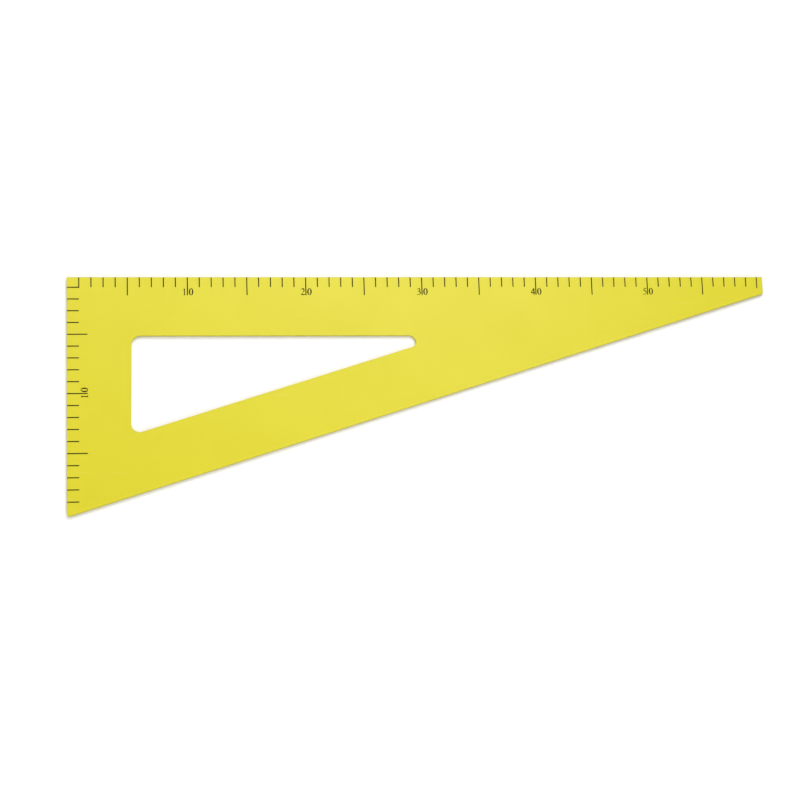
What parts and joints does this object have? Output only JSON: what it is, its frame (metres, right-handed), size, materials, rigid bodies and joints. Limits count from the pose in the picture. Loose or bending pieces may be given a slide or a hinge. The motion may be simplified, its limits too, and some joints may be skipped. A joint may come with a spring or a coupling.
{
  "type": "set square",
  "caption": "Flat right-angled set square with a blunt tip, a triangular cut-out and a printed centimetre scale along both legs.",
  "frame": {"origin": "middle of the outline's bounding box, on the back face that the sheet lies on", "axes": "+X along the long edge from the right angle to the blunt tip, +Y out of the long edge, +Z out of the printed face"},
  "size_m": [0.6054, 0.2004, 0.003],
  "materials": {
    "plate": "satin, opaque yellow, through-coloured",
    "ink": "matt black-brown printing ink"
  },
  "bodies": {
    "root": {"plate": "plate", "corner_mark": "ink", "long_edge_centimetre_lines": "ink", "long_edge_five_centimetre_lines": "ink", "long_edge_last_line": "ink", "short_edge_centimetre_lines": "ink", "short_edge_five_centimetre_lines": "ink", "numeral_10": "ink", "numeral_20": "ink", "numeral_30": "ink", "numeral_40": "ink", "numeral_50": "ink", "short_edge_numeral_10": "ink"}
  },
  "joints": []
}
